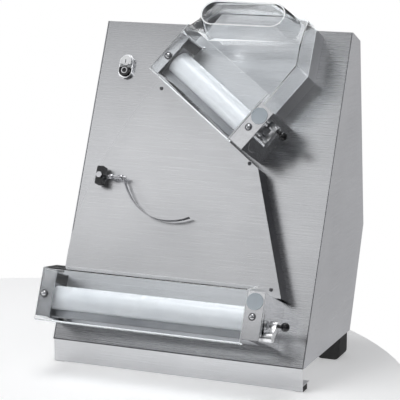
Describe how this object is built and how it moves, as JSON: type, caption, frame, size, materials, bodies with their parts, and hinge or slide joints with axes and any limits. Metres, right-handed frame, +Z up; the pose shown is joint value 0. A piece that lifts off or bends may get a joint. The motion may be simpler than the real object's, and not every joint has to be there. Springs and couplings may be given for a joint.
{
  "type": "dough sheeter",
  "caption": "Bench-top dough sheeter: sloping stainless body with a short angled roller pair above, a long roller pair below, clear guards and a feed hopper.",
  "frame": {"origin": "centre of the overall box, on the surface that the feet stand on", "axes": "+X along the lower rollers towards the levers, +Y to the rear, +Z up"},
  "size_m": [0.53, 0.4702, 0.7211],
  "materials": {
    "stainless_panel": "fine horizontal brushing",
    "stainless_housing": "polished folded stainless",
    "roller_white": "smooth food-grade white plastic",
    "shaft_steel": "ground steel",
    "gear_steel": "machined steel",
    "pulley_alloy": "turned aluminium",
    "bearing_plastic": "machined acetal",
    "carriage_alloy": "milled aluminium",
    "lever_chrome": "polished chrome",
    "black_plastic": "moulded black plastic",
    "black_button": "glossy black plastic",
    "white_button": "glossy white plastic",
    "clear_plastic": "clear bent polycarbonate",
    "motor_paint": "grey enamel",
    "grey_plastic": "moulded grey plastic",
    "belt_rubber": "toothless rubber belt",
    "foot_rubber": "black rubber",
    "screw_steel": "zinc-bright steel"
  },
  "bodies": {
    "body": {"arm_post": "lever_chrome", "arm_spring": "lever_chrome", "base_plate": "stainless_panel", "cable_gland": "black_plastic", "chute_pan": "stainless_panel", "control_box": "grey_plastic", "drive_belts": "belt_rubber", "feet": "foot_rubber", "flange_bolts": "screw_steel", "front_panel": "stainless_panel", "front_support": "stainless_panel", "guide_pins": "shaft_steel", "guide_plate": "stainless_panel", "guide_standoffs": "shaft_steel", "hopper": "clear_plastic", "left_side_panel": "stainless_panel", "lower_guard": "clear_plastic", "lower_left_housing": "stainless_housing", "lower_motor": "motor_paint", "lower_rear_bearings": "bearing_plastic", "lower_rear_scraper": "stainless_housing", "lower_right_housing": "stainless_housing", "motor_brackets": "stainless_housing", "panel_screws": "screw_steel", "rear_cover": "stainless_panel", "right_side_panel": "stainless_panel", "switch_bezel": "black_plastic", "switch_block": "black_plastic", "upper_guard": "clear_plastic", "upper_left_housing": "stainless_housing", "upper_motor": "motor_paint", "upper_rear_bearings": "bearing_plastic", "upper_rear_scraper": "stainless_housing", "upper_right_housing": "stainless_housing"},
    "lower_rear_roller_body": {"lower_rear_roller": "roller_white", "lower_rear_shaft": "shaft_steel", "lower_rear_gear": "gear_steel", "lower_drive_pulley": "pulley_alloy"},
    "lower_lever_body": {"lower_lever": "lever_chrome", "lower_lever_knob": "black_plastic"},
    "lower_carriage_body": {"lower_carriage": "carriage_alloy"},
    "lower_front_roller_body": {"lower_front_roller": "roller_white", "lower_front_shaft": "shaft_steel", "lower_front_gear": "gear_steel"},
    "lower_motor_pulley_body": {"lower_motor_pulley": "pulley_alloy"},
    "upper_rear_roller_body": {"upper_rear_roller": "roller_white", "upper_rear_shaft": "shaft_steel", "upper_rear_gear": "gear_steel", "upper_drive_pulley": "pulley_alloy"},
    "upper_lever_body": {"upper_lever": "lever_chrome", "upper_lever_knob": "black_plastic"},
    "upper_carriage_body": {"upper_carriage": "carriage_alloy"},
    "upper_front_roller_body": {"upper_front_roller": "roller_white", "upper_front_shaft": "shaft_steel", "upper_front_gear": "gear_steel"},
    "upper_motor_pulley_body": {"upper_motor_pulley": "pulley_alloy"},
    "start_button_body": {"start_button": "white_button"},
    "stop_button_body": {"stop_button": "black_button"},
    "balance_arm_body": {"arm_block": "black_plastic", "balance_arm": "lever_chrome"}
  },
  "joints": [
    {"name": "lower_rear_roller_spin", "type": "hinge", "parent": "body", "child": "lower_rear_roller_body", "pos_m": [-0.022, -0.13022, 0.12113], "axis": [1, 0, 0], "continuous": true},
    {"name": "lower_lever_turn", "type": "hinge", "parent": "body", "child": "lower_lever_body", "pos_m": [0.209, -0.20099, 0.12192], "axis": [1, 0, 0], "range_deg": [-30, 30]},
    {"name": "lower_gap_slide", "type": "slide", "parent": "body", "child": "lower_carriage_body", "axis": [0, -0.914, 0.4058], "range_m": [-0.002, 0.002]},
    {"name": "lower_front_roller_spin", "type": "hinge", "parent": "lower_carriage_body", "child": "lower_front_roller_body", "pos_m": [-0.022, -0.18049, 0.14345], "axis": [1, 0, 0], "continuous": true},
    {"name": "lower_motor_spin", "type": "hinge", "parent": "body", "child": "lower_motor_pulley_body", "pos_m": [0.189, -0.04644, 0.0905], "axis": [1, 0, 0], "continuous": true},
    {"name": "upper_rear_roller_spin", "type": "hinge", "parent": "body", "child": "upper_rear_roller_body", "pos_m": [0.03234, 0.04352, 0.51246], "axis": [0.8161, -0.2345, -0.5281], "continuous": true},
    {"name": "upper_lever_turn", "type": "hinge", "parent": "body", "child": "upper_lever_body", "pos_m": [0.13966, -0.03758, 0.46532], "axis": [0.8161, -0.2345, -0.5281], "range_deg": [-30, 30]},
    {"name": "upper_gap_slide", "type": "slide", "parent": "body", "child": "upper_carriage_body", "axis": [0, -0.914, 0.4058], "range_m": [-0.002, 0.002]},
    {"name": "upper_front_roller_spin", "type": "hinge", "parent": "upper_carriage_body", "child": "upper_front_roller_body", "pos_m": [0.03234, -0.00675, 0.53478], "axis": [0.8161, -0.2345, -0.5281], "continuous": true},
    {"name": "upper_motor_spin", "type": "hinge", "parent": "body", "child": "upper_motor_pulley_body", "pos_m": [0.1268, 0.10071, 0.42193], "axis": [0.8161, -0.2345, -0.5281], "continuous": true},
    {"name": "start_button_press", "type": "slide", "parent": "body", "child": "start_button_body", "axis": [0, 0.914, -0.4058], "range_m": [0, 0.002], "stiffness_N_per_m": 400},
    {"name": "stop_button_press", "type": "slide", "parent": "body", "child": "stop_button_body", "axis": [0, 0.914, -0.4058], "range_m": [0, 0.002], "stiffness_N_per_m": 400},
    {"name": "balance_arm_swing", "type": "hinge", "parent": "body", "child": "balance_arm_body", "pos_m": [-0.19, -0.06066, 0.37144], "axis": [0, -0.914, 0.4058], "range_deg": [-35, 12], "stiffness_Nm_per_rad": 0.6, "springref_deg": 2.69}
  ],
  "couplings": [
    {"joint": "lower_front_roller_spin", "follows": "lower_rear_roller_spin", "ratio": -1},
    {"joint": "lower_motor_spin", "follows": "lower_rear_roller_spin", "ratio": 1.3077},
    {"joint": "lower_lever_turn", "follows": "lower_gap_slide", "rad_per_m": 261.8},
    {"joint": "upper_front_roller_spin", "follows": "upper_rear_roller_spin", "ratio": -1},
    {"joint": "upper_motor_spin", "follows": "upper_rear_roller_spin", "ratio": 1.3077},
    {"joint": "upper_lever_turn", "follows": "upper_gap_slide", "rad_per_m": 261.8}
  ]
}
